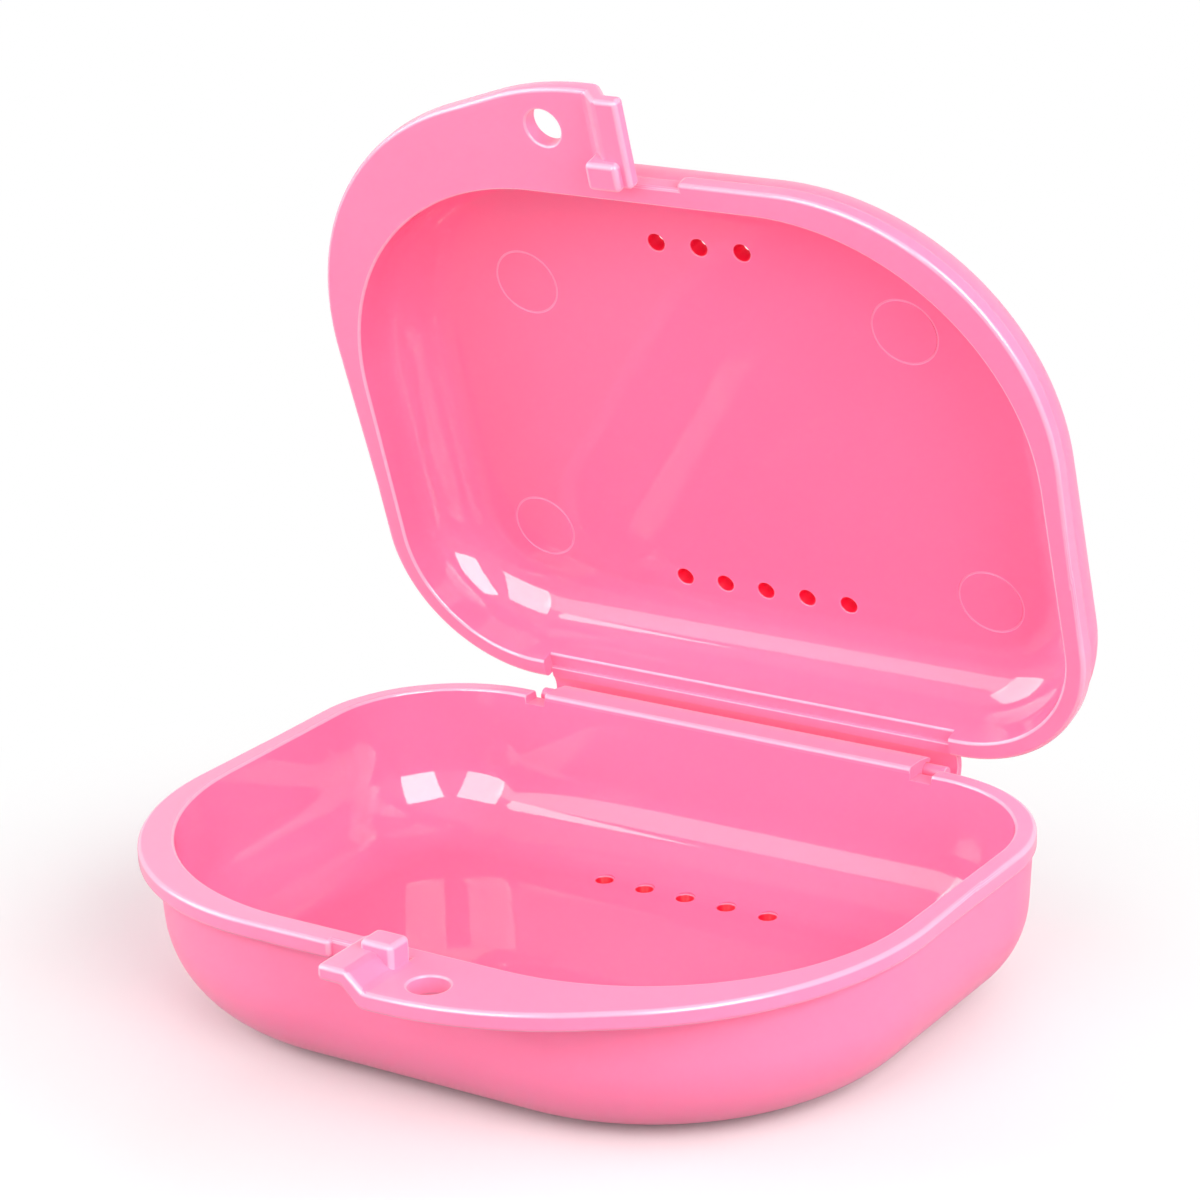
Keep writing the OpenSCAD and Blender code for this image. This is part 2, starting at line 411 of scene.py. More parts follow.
@dataclass(frozen=True)
class Latch:
    """Raised latch end, which hooks over the other half's, and its thumb block."""

    parting_x: float = 0.25  # offset of the parting line from the middle
    gap: float = 0.3  # between the two ends, if they didn't hook
    rise: float = 1.6
    flat: float = 1.75
    ramp: float = 1.75
    slant: float = 0.6  # how far the ramp's underside is set towards the tip
    lap: float = 1.0  # how far the ramp's foot reaches into the lobe
    hook: float = 1.3  # how far the tip reaches over the other half's end
    hook_gap: float = 0.06  # from the parting plane to the tip's underside
    window_w: float = 5.3  # break in the flange that takes the other half's end
    block_h: float = 2.45
    block_w: float = 3.5
    block_l: float = 2.9
    block_gap: float = 0.3  # from the rim to the block
    block_foot: float = 0.8  # how far its foot is up at the tip and down at the root
    block_round: float = 0.55
    edge_round: float = 0.5
    round_steps: int = 4


@dataclass(frozen=True)
class Flange:
    """Front flange of one half: a narrow stretch on the left, a lobe with a lanyard hole on the right."""

    lobe_r: float  # radius of the lobe's two corners
    lobe_reach: float  # past the cavity at the front
    lobe_side: float  # past the cavity at the side
    lobe_back: float  # from the cavity's front to the side corner's centre
    lanyard_x: float
    lanyard_y: float  # past the cavity at the front
    narrow_r: float = 25.5
    narrow_reach: float = 2.65
    narrow_side: float = 2.25
    lobe_front_x: float = 4.4  # centre of the front corner
    lobe_lap: float = 0.5  # how far the lobe reaches into the latch end
    run_out_y: float = 13.0  # where the side edges end in the rim
    run_out_sink: float = 0.15  # how far inside the rim's edge that is
    root: float = 1.0  # from the cavity to the flange's root, inside the rim
    edge_round: float = 0.5
    round_steps: int = 4
    arc_steps: int = 40


@dataclass(frozen=True)
class Hinge:
    """Snap hinge: a bead on the lid's leaf turns in a groove along the base's hinge strip."""

    axis_y: float = 31.8
    axis_z: float = -1.05  # under the parting plane
    open_angle: float = 73.2
    bead_r: float = 0.75
    bead_steps: int = 32
    groove_r: float = 0.8
    groove_steps: int = 28
    clip_r: float = 1.3  # outer radius of the lips beside the groove
    clip_steps: int = 8
    lip_top: float = 40.0  # angle at which the upper lip ends
    lip_low: float = 240.0  # angle at which the lower lip ends
    strip_rise: float = 0.45
    strip_w: float = 2.15
    strip_round: float = 0.45
    strip_steps: int = 6
    strip_half: float = 21.2
    leaf_half: float = 23.5
    leaf_in_r: float = 2.25  # inner radius of its bend
    leaf_in_steps: int = 16
    leaf_out_r: float = 3.1  # outer radius of its bend
    leaf_out_steps: int = 24
    leaf_t: float = 0.85
    leaf_under: float = 1.0  # height of its underside
    leaf_step: float = 1.4  # from the cavity to its root
    leaf_lip: float = 0.4  # from its underside to the top of the recess
    join_low: float = 15.0  # angle under the level at which it joins the bead
    join_top: float = 25.0  # angle over the level at which it joins the bead
    recess_round: float = 0.28
    recess_in: float = 0.01  # how far the cutter goes past the wall's face
    recess_clear: float = 1.0  # how far the cutter stands out
    notch_d: float = 0.9
    notch_round: float = 0.16
    edge_round: float = 0.24
    round_steps: int = 4

    def at(self, degrees: float, radius: float, x: float) -> Vector:
        """Returns the point at an angle and radius about the hinge axis, at a place along it."""
        a = math.radians(degrees)
        return Vector((x, self.axis_y + radius * math.cos(a), self.axis_z + radius * math.sin(a)))

    def axis_at(self, x: float) -> Vector:
        """Returns the point of the hinge axis at a place along it."""
        return Vector((x, self.axis_y, self.axis_z))


@dataclass(frozen=True)
class Marks:
    """Ejector-pin marks inside the lid: four shallow ring lines."""

    ring_r: float = 3.45
    ring_steps: int = 64
    line_w: float = 0.25
    depth: float = 0.1
    clear: float = 1.0  # how far a ring's cutter stands out
    front_x: float = 21.1
    front_y: float = -12.6
    back_x: float = 25.8
    back_y: float = 17.2


# Finishes


def linear(hex_colour: str) -> tuple[float, float, float, float]:
    """Turns an sRGB hex colour to linear RGBA."""
    parts = [int(hex_colour[i : i + 2], 16) / 255 for i in (1, 3, 5)]
    return (*[c / 12.92 if c <= 0.04045 else ((c + 0.055) / 1.055) ** 2.4 for c in parts], 1.0)


def node(
    tree: bpy.types.NodeTree, kind: str, settings: dict[str, Any], inputs: dict[str | int, Any]
) -> bpy.types.Node:
    """Adds a shader node.

    Args:
        tree: tree to add it to.
        kind: the node's type.
        settings: properties to set on it.
        inputs: by socket name or number, a value to set or another node's socket to link.

    Returns:
        The node.
    """
    made = tree.nodes.new(kind)
    for name, value in settings.items():
        setattr(made, name, value)
    for name, value in inputs.items():
        socket = made.inputs[name]
        if isinstance(value, bpy.types.NodeSocket):
            tree.links.new(value, socket)
        else:
            socket.default_value = value
    return made


@dataclass(frozen=True)
class Polypropylene:
    """Pigmented polypropylene, injection moulded: a milky plastic that light enters by a millimetre or so.

    A polished mould gives it a wet gloss, and a satin one a soft sheen. Slow shrinkage waves make the gloss
    ripple a little, a faint mottle of the pigment keeps large faces from looking flat, and the rounded edges
    that face up have a painted highlight: their colour is painted paler.
    """

    name: str
    colour: str
    mottle_colour: str
    highlight_colour: str
    highlight_share: float  # how far the marked edges go to the colour of their painted highlight
    roughness: tuple[float, float]  # over the span of the mottle
    wave_mm: float  # size of the shrinkage waves
    bloom: float  # milky sheen at grazing angles
    wave_height_mm: float = 0.004
    wave_detail: float = 1.5
    wave_fineness: float = 0.4
    mottle_mm: float = 14.0
    mottle_detail: float = 3.0
    mottle_fineness: float = 0.5
    mottle_span: tuple[float, float] = (0.3, 0.7)  # values that the noise mostly has
    bloom_roughness: float = 0.45
    scatter: float = 0.3
    scatter_mm: float = 0.6
    scatter_rgb: tuple[float, float, float] = (1.0, 0.35, 0.45)  # red light goes deepest
    ior: float = 1.49

    def pigment(self, tree: bpy.types.NodeTree, mottle: bpy.types.NodeSocket) -> bpy.types.NodeSocket:
        """Mottles the pigment, and paints a highlight along the marked edges by paling it.

        Args:
            tree: the material's tree.
            mottle: the mottle's socket.

        Returns:
            The colour's socket.
        """
        # the marked edges go towards the pale colour: a painted highlight
        mark = node(tree, "ShaderNodeAttribute", {"attribute_name": HIGHLIGHT_MARK}, {}).outputs["Fac"]
        share = node(tree, "ShaderNodeMapRange", {}, {"Value": mark, "To Max": self.highlight_share})
        mixed = node(
            tree,
            "ShaderNodeMix",
            {"data_type": "RGBA"},
            {"Factor": mottle, MIX_A: linear(self.colour), MIX_B: linear(self.mottle_colour)},
        )
        return node(
            tree,
            "ShaderNodeMix",
            {"data_type": "RGBA"},
            {
                "Factor": share.outputs["Result"],
                MIX_A: mixed.outputs[MIX_OUT],
                MIX_B: linear(self.highlight_colour),
            },
        ).outputs[MIX_OUT]

    def material(self) -> bpy.types.Material:
        """Builds the material.

        Returns:
            The material, named for the moulding that made the surface.
        """
        made = bpy.data.materials.new(self.name)
        made.use_nodes = True
        tree = made.node_tree
        tree.nodes.clear()
        place = node(tree, "ShaderNodeTexCoord", {}, {}).outputs["Object"]
        mottle = node(
            tree,
            "ShaderNodeTexNoise",
            {},
            {
                "Vector": place,
                "Scale": 1 / (self.mottle_mm * MM),
                "Detail": self.mottle_detail,
                "Roughness": self.mottle_fineness,
            },
        ).outputs["Fac"]
        wave = node(
            tree,
            "ShaderNodeTexNoise",
            {},
            {
                "Vector": place,
                "Scale": 1 / (self.wave_mm * MM),
                "Detail": self.wave_detail,
                "Roughness": self.wave_fineness,
            },
        ).outputs["Fac"]
        roughness = node(
            tree,
            "ShaderNodeMapRange",
            {},
            {
                "Value": mottle,
                "From Min": self.mottle_span[0],
                "From Max": self.mottle_span[1],
                "To Min": self.roughness[0],
                "To Max": self.roughness[1],
            },
        ).outputs["Result"]
        ripple = node(
            tree,
            "ShaderNodeBump",
            {},
            {"Height": wave, "Distance": self.wave_height_mm * MM, "Strength": 1.0},
        ).outputs["Normal"]
        plastic = node(
            tree,
            "ShaderNodeBsdfPrincipled",
            {"subsurface_method": "RANDOM_WALK"},
            {
                "Base Color": self.pigment(tree, mottle),
                "Roughness": roughness,
                "Normal": ripple,
                "IOR": self.ior,
                "Subsurface Weight": self.scatter,
                "Subsurface Radius": self.scatter_rgb,
                "Subsurface Scale": self.scatter_mm * MM,
                "Sheen Weight": self.bloom,
                "Sheen Roughness": self.bloom_roughness,
            },
        ).outputs["BSDF"]
        node(tree, "ShaderNodeOutputMaterial", {}, {"Surface": plastic})
        return made


# Pale colour of the painted highlight along the rounded edges of every finish.
HIGHLIGHT_PALE = "#FFE0EC"

# Rims and flanges, from a smooth but worn mould face: a soft gloss with a milky bloom. Their pigment is a
# shade paler than the bowls' as painted light on the flange tops, and their rounded edges have a painted
# highlight.
RIM = Polypropylene(
    name="gloss_moulded_polypropylene",
    colour="#FF82AC",
    mottle_colour="#FF86AF",
    highlight_colour=HIGHLIGHT_PALE,
    highlight_share=0.28,
    roughness=(0.17, 0.24),
    wave_mm=6.0,
    bloom=0.35,
)

# Outside of the bowls, from a satin mould face: broad, blurred highlights that let the form read, and a
# painted highlight on the rounded edges.
OUTSIDE = Polypropylene(
    name="satin_moulded_polypropylene",
    colour="#FF7CA6",
    mottle_colour="#FF80A9",
    highlight_colour=HIGHLIGHT_PALE,
    highlight_share=0.3,
    roughness=(0.32, 0.4),
    wave_mm=4.0,
    bloom=0.1,
)

# Inside of the bowls, from a mirror-polished core: it looks wet, and shows the windows as clear panes. Its
# rounded edges have a painted highlight.
INSIDE = Polypropylene(
    name="polished_moulded_polypropylene",
    colour="#FF7CA6",
    mottle_colour="#FF80A9",
    highlight_colour=HIGHLIGHT_PALE,
    highlight_share=0.45,
    roughness=(0.03, 0.05),
    wave_mm=12.0,
    bloom=0.0,
)

# Bores of the vents, moulded round thin pins: their deep red is painted shade, and their lips have a painted
# highlight.
PIN = Polypropylene(
    name="pin_bore_painted_shade",
    colour="#E8123F",
    mottle_colour="#EC1542",
    highlight_colour="#FF80AE",
    highlight_share=0.8,
    roughness=(0.3, 0.36),
    wave_mm=4.0,
    bloom=0.0,
)

# Lines round the ejector pins, from a turned step in the mould: thin rings whose pale pigment is a painted
# highlight.
EJECTOR = Polypropylene(
    name="ejector_ring_painted_highlight",
    colour="#FF9FC3",
    mottle_colour="#FFA6C8",
    highlight_colour=HIGHLIGHT_PALE,
    highlight_share=0.5,
    roughness=(0.1, 0.15),
    wave_mm=4.0,
    bloom=0.0,
)


# The case


@dataclass(frozen=True)
class WallSection:
    """Section of a half's wall, rim and all, drawn at the front end of the right side."""

    cavity: Cavity
    walls: Walls
    depth: float
    edge_r: float

    @property
    def lean(self) -> float:
        """How far the wall leans outwards, in radians."""
        return math.radians(self.walls.draft)

    def at(self, x: float, z: float) -> Vector:
        """Returns the point at a distance out from the cavity and a height over the rim's face."""
        return Vector((self.cavity.half_w + x, self.cavity.front.y, z))

    def ray(self, centre: tuple[float, float], radius: float, degrees: float) -> Vector:
        """Returns the point of a circle at an angle up from straight out."""
        a = math.radians(degrees)
        return self.at(centre[0] + radius * math.cos(a), centre[1] + radius * math.sin(a))

    def edge_centre(self, height: float, radius: float, out: float) -> tuple[float, float]:
        """Works out the centre of the round between the floor and the wall.

        Args:
            height: how deep the floor's face lies under the rim's.
            radius: radius of the round.
            out: how far out from the cavity the wall's face starts, at the rim.

        Returns:
            Its distance out and its height, as for a point.
        """
        lean = self.lean
        run = math.tan(lean) * (height - radius + radius * math.sin(lean)) + radius * math.cos(lean)
        return out - run, radius - height

    def draw(self, pen: Pen) -> Pen:
        """Draws the section: up the inside, over the lip and the rim, under the ledge and down the outside.

        Args:
            pen: a pen that turns in the section's plane.

        Returns:
            The pen.
        """
        w, lean, turn = self.walls, self.lean, 90 - self.walls.draft
        inner_r = self.edge_r - (w.wall_t + w.floor_t) / 2
        inner = self.edge_centre(self.depth - w.floor_t, inner_r, 0)
        outer = self.edge_centre(self.depth, self.edge_r, w.wall_t)
        lip = (w.lip_round * (1 - math.sin(lean)) / math.cos(lean), -w.lip_round)
        rim = (w.rim_w - w.rim_round, -w.rim_round)
        ledge = (w.rim_w - w.ledge_round, w.ledge_round - w.flange_t)
        under_x = w.wall_t - math.tan(lean) * w.flange_t
        pen.start(self.ray(inner, inner_r, -90)).arc(self.at(*inner), turn, w.edge_steps)
        pen.line(self.ray(lip, w.lip_round, 180 - w.draft)).arc(self.at(*lip), -turn, w.round_steps)
        pen.line(self.ray(rim, w.rim_round, 90)).arc(self.at(*rim), -90, w.round_steps)
        pen.line(self.ray(ledge, w.ledge_round, 0)).arc(self.at(*ledge), -90, w.round_steps)
        pen.line(self.at(under_x, -w.flange_t)).line(self.ray(outer, self.edge_r, -w.draft))
        return pen.arc(self.at(*outer), -turn, w.edge_steps)


@dataclass
class Half(ABC):
    """One moulding of the case."""

    side: Side
    depth: float
    edge_r: float
    flange: Flange
    cavity: Cavity = Cavity()
    walls: Walls = Walls()
    latch: Latch = Latch()
    hinge: Hinge = Hinge()

    @property
    def up(self) -> Vector:
        """Which way the rim's face looks in the shut case."""
        return UP if self.side is Side.BASE else -UP

    @property
    def parting_x(self) -> float:
        """Where the two latch ends part, in this half's own drawing; the lid's is turned over."""
        return self.latch.parting_x if self.side is Side.BASE else -self.latch.parting_x

    @property
    def latch_x(self) -> tuple[float, float, float]:
        """Where the latch end's flat starts, its ramp starts and its ramp ends."""
        start = self.parting_x + self.latch.gap / 2
        return start, start + self.latch.flat, start + self.latch.flat + self.latch.ramp

    @property
    def vents(self) -> list[Vector]:
        """Feet of the vents: five near the hinge and three near the front."""
        w, back = self.walls, range(-2, 3)
        plan = [(i * w.vent_pitch, w.vent_back_y) for i in back]
        plan += [(i * w.vent_pitch, -w.vent_front_y) for i in back[1:-1]]
        return [Vector((x, y, -self.depth)) for x, y in plan]

    def bowl(self) -> BMesh:
        """Sweeps the wall's section round the cavity and fills the floor.

        Returns:
            The bowl with its rim.
        """
        bm = bmesh.new()
        section = WallSection(self.cavity, self.walls, self.depth, self.edge_r)
        self.cavity.sweep(bm, section.draw(Pen(bm, -BACKWARDS)).chain())
        return closed(bm)

    def run_out(self, centre: Vector, radius: float) -> tuple[float, Vector]:
        """Works out how a flange's side edge runs into the rim, in a straight line off its corner circle.

        Args:
            centre: centre of the circle, as if on the right.
            radius: radius of the circle.

        Returns:
            How many degrees past its widest point the line leaves the circle, and where it ends in the rim.
        """
        out = self.cavity.half_w + self.walls.rim_w - self.flange.run_out_sink
        end = Vector((out, self.flange.run_out_y, centre.z))
        away = (end - centre).to_2d()
        return math.degrees(math.atan2(away.y, away.x) - math.acos(radius / away.length)), end

    def narrow_flange(self) -> BMesh:
        """Makes the narrow flange on the left of the front, rooted in the rim.

        Returns:
            The solid.
        """
        f, c, z = self.flange, self.cavity, -self.walls.flange_t
        left = self.latch_x[0] - self.latch.window_w
        front_y = -c.half_l - f.narrow_reach
        root_x, root_y = -c.half_w - f.root, -c.half_l - f.root
        middle = Vector((f.narrow_r - c.half_w - f.narrow_side, front_y + f.narrow_r, z))
        over, end = self.run_out(Vector((-middle.x, middle.y, z)), f.narrow_r)
        corner = Vector((-c.front.x, c.front.y, z))
        pen = Pen(bmesh.new(), UP).start((left, front_y, z)).line((middle.x, front_y, z))
        pen.arc(middle, -90 - over, f.arc_steps).line((-end.x, end.y, z))
        pen.line((root_x, end.y, z)).line((root_x, c.front.y, z))
        pen.arc(corner, 90, f.arc_steps).line((left, root_y, z))
        return rounded(pen.extrude(UP * self.walls.flange_t), f.edge_round, f.round_steps)

    def lobe(self) -> BMesh:
        """Makes the lobe on the right of the front, rooted in the rim.

        Returns:
            The solid.
        """
        f, c, z = self.flange, self.cavity, -self.walls.flange_t
        start_x = self.latch_x[2] - f.lobe_lap
        front_y = -c.half_l - f.lobe_reach
        root_x, root_y = c.half_w + f.root, -c.half_l - f.root
        a = Vector((f.lobe_front_x, front_y + f.lobe_r, z))
        b = Vector((c.half_w + f.lobe_side - f.lobe_r, f.lobe_back - c.half_l, z))
        slope = math.degrees(math.atan2(b.y - a.y, b.x - a.x))
        over, end = self.run_out(b, f.lobe_r)
        corner = Vector((c.front.x, c.front.y, z))
        pen = Pen(bmesh.new(), UP).start((start_x, front_y, z)).line((a.x, front_y, z))
        pen.arc(a, slope, f.arc_steps // 2)
        pen.line(pen.trail[-1].co + (b - a)).arc(b, 90 - slope + over, f.arc_steps)
        pen.line(end).line((root_x, end.y, z)).line((root_x, c.front.y, z))
        pen.arc(corner, -90, f.arc_steps).line((start_x, root_y, z))
        return rounded(pen.extrude(UP * self.walls.flange_t), f.edge_round, f.round_steps)

    def latch_end(self) -> list[BMesh]:
        """Makes the raised latch end and its thumb block.

        Returns:
            The two solids.
        """
        k, t = self.latch, self.walls.flange_t
        x0, x1, x2 = self.latch_x
        tip, under = x0 - k.hook, k.hook_gap
        back = -self.cavity.half_l - self.walls.rim_w - k.block_gap
        front = -self.cavity.half_l - self.flange.lobe_reach
        end = [(x1 - k.slant, under), (x2 - k.slant, -t), (x2 + k.lap, -t), (x2 + k.lap, 0), (x2, 0)]
        end += [(x1, k.rise), (tip, k.rise), (tip, under)]
        far_x, foot = x0 + k.block_w, k.block_foot
        block = [(x0, foot), (far_x, -foot), (far_x, k.block_h), (x0, k.block_h)]
        forms = ((end, back - front, k.edge_round), (block, k.block_l, k.block_round))
        made = []
        for outline, length, radius in forms:
            points = [(x, back, z) for x, z in outline]
            pen = Pen(bmesh.new(), -BACKWARDS).start(points[0])
            for point in points[1:]:
                pen.line(point)
            made.append(rounded(pen.extrude(-BACKWARDS * length), radius, k.round_steps))
        return made

    def hole(self, foot: Vector, top: Vector, radii: tuple[float, float], lip: float, steps: int) -> BMesh:
        """Makes the cutter of an upright hole with rounded lips.

        Args:
            foot: middle of its lower end.
            top: middle of its upper end.
            radii: lower and upper radius.
            lip: radius of the lips.
            steps: number of facets.

        Returns:
            The cutter.
        """
        clear, turns = UP * self.walls.hole_clear, self.walls.round_steps
        low, high = foot + ACROSS * (radii[0] + lip), top + ACROSS * (radii[1] + lip)
        pen = Pen(bmesh.new(), -BACKWARDS).start(low - clear).line(low)
        pen.arc(low + UP * lip, -90, turns).line(high - UP * lip - ACROSS * lip)
        pen.arc(high - UP * lip, -90, turns).line(high + clear)
        return pen.turn_solid(foot, steps)

    def holes(self) -> list[BMesh]:
        """Makes the cutters of the vents, which narrow outwards, and of the lanyard hole.

        Returns:
            The cutters.
        """
        w, f, lift = self.walls, self.flange, UP * self.walls.floor_t
        radii = (w.vent_out_r, w.vent_r)
        made = [self.hole(vent, vent + lift, radii, w.vent_round, w.vent_steps) for vent in self.vents]
        foot = Vector((f.lanyard_x, -self.cavity.half_l - f.lanyard_y, -w.flange_t))
        radii = (w.lanyard_r, w.lanyard_r)
        made.append(self.hole(foot, foot + UP * w.flange_t, radii, w.lanyard_round, w.lanyard_steps))
        return made

    def polish(self, face: BMFace) -> Polish:
        """Tells which surface of the mould made a face.

        Args:
            face: a face of the half, before it is placed.

        Returns:
            The surface.
        """
        w, at = self.walls, face.calc_center_median()
        in_floor, reach = at.z < w.floor_t - self.depth, w.vent_r + w.vent_round / 2
        # The vent bores take the pin finish, whose deep red is painted shade.
        if in_floor and any((at - vent).to_2d().length < reach for vent in self.vents):
            return Polish.PIN
        middle = Vector((0, 0, -self.depth / 2))
        if self.cavity.holds(at, w.lip_margin) and face.normal.dot(middle - at) > 0:
            return Polish.INSIDE
        return Polish.RIM if at.z > -w.flange_t - w.rim_margin else Polish.OUTSIDE

    def half(self) -> BMesh:
        """Makes the bowl with its flange, latch end and holes, a hair low at the rim.

        Returns:
            The solid, with each face's finish.
        """
        body = self.bowl()
        body = shaped(body, [self.narrow_flange(), self.lobe(), *self.latch_end()], Boolean.JOIN)
        body = shaped(body, self.holes(), Boolean.CUT)
        for face in body.faces:
            face.material_index = self.polish(face).value
        room, foot = (1, 1, 1 - self.walls.rim_gap / self.depth), Matrix.Translation(UP * self.depth)
        bmesh.ops.scale(body, vec=room, space=foot, verts=body.verts[:])
        return body

    @abstractmethod
    def hinge_section(self, pen: Pen) -> Pen:
        """Draws the hinge's section at one end of it; each half has its own."""

    @abstractmethod
    def place(self) -> Matrix:
        """Returns the matrix from the shut case, in millimetres, to the row's frame."""

    @abstractmethod
    def build(self) -> BMesh:
        """Makes the whole moulding, shut, and returns the mesh."""

    def dress(self, finishes: Sequence[bpy.types.Material]) -> bpy.types.Object:
        """Builds the moulding, gives it its finishes and puts it on its body.

        Args:
            finishes: materials in the order of Polish.

        Returns:
            The piece.
        """
        bm = self.build()
        bmesh.ops.recalc_face_normals(bm, faces=bm.faces[:])
        # rounded edges that face up get a painted highlight in their colour
        mark_edge_highlights(bm, self.up)
        bmesh.ops.transform(bm, matrix=self.place(), verts=bm.verts[:])
        for edge in bm.edges:
            edge.smooth = edge.is_manifold and edge.calc_face_angle() < SHARP
        for face in bm.faces:
            face.smooth = True
        piece = as_object(bm, f"{self.side.value}_moulding")
        for finish in finishes:
            piece.data.materials.append(finish)
        flat = piece.modifiers.new("flat_faces", "WEIGHTED_NORMAL")
        flat.mode, flat.weight, flat.thresh, flat.keep_sharp = "FACE_AREA", FLAT_WEIGHT, SAME_AREA, True
        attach(piece, self.side.value)
        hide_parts(self.side.value)
        return piece


@dataclass
class BaseHalf(Half):
    """Base tray, with the hinge strip and its groove."""

    def hinge_section(self, pen: Pen) -> Pen:
        """Draws the strip's section: a flat top, and a groove between two lips behind it.

        Args:
            pen: a pen that turns about the hinge's length.

        Returns:
            The pen, with the outline drawn.
        """
        h, x = self.hinge, -self.hinge.strip_half
        root_y = self.cavity.half_l
        wall_y = root_y + self.walls.wall_t / 2
        low = h.at(h.lip_low, h.clip_r, x)
        round_y, round_z = root_y + h.strip_round, h.strip_rise - h.strip_round
        pen.start((x, root_y, h.axis_z)).line((x, root_y, round_z))
        pen.arc((x, round_y, round_z), -90, h.strip_steps)
        pen.line((x, root_y + h.strip_w, h.strip_rise)).line(h.at(90, h.clip_r, x))
        pen.arc(h.axis_at(x), h.lip_top - 90, h.clip_steps).line(h.at(h.lip_top, h.groove_r, x))
        pen.arc(h.axis_at(x), h.lip_low - h.lip_top, h.groove_steps).line(low)
        return pen.line((x, wall_y, low.z)).line((x, wall_y, h.axis_z))

    def build(self) -> BMesh:
        """Makes the base: half, notches beside the hinge strip, and the strip.

        Returns:
            The moulding, shut.
        """
        h, y = self.hinge, self.cavity.half_l + self.walls.rim_w / 2
        reach = self.walls.rim_w
        body = self.half()
        notches = []
        for low, high in ((-h.leaf_half, -h.strip_half), (h.strip_half, h.leaf_half)):
            notches.append(box((low, y - reach, -h.notch_d), (high, y + reach, h.notch_d)))
        body = shaped(body, notches, Boolean.CUT)
        ends = [(Vector((s * h.leaf_half, y, 0)), reach) for s in (-1, 1)]
        body = rounded(body, h.notch_round, h.round_steps, ends)
        strip = self.hinge_section(Pen(bmesh.new(), ACROSS)).extrude(ACROSS * 2 * h.strip_half)
        return shaped(body, [rounded(strip, h.edge_round, h.round_steps)], Boolean.JOIN)

    def place(self) -> Matrix:
        """Stands the base on its foot, in metres."""
        return Matrix.Scale(MM, 4) @ Matrix.Translation(UP * self.depth)


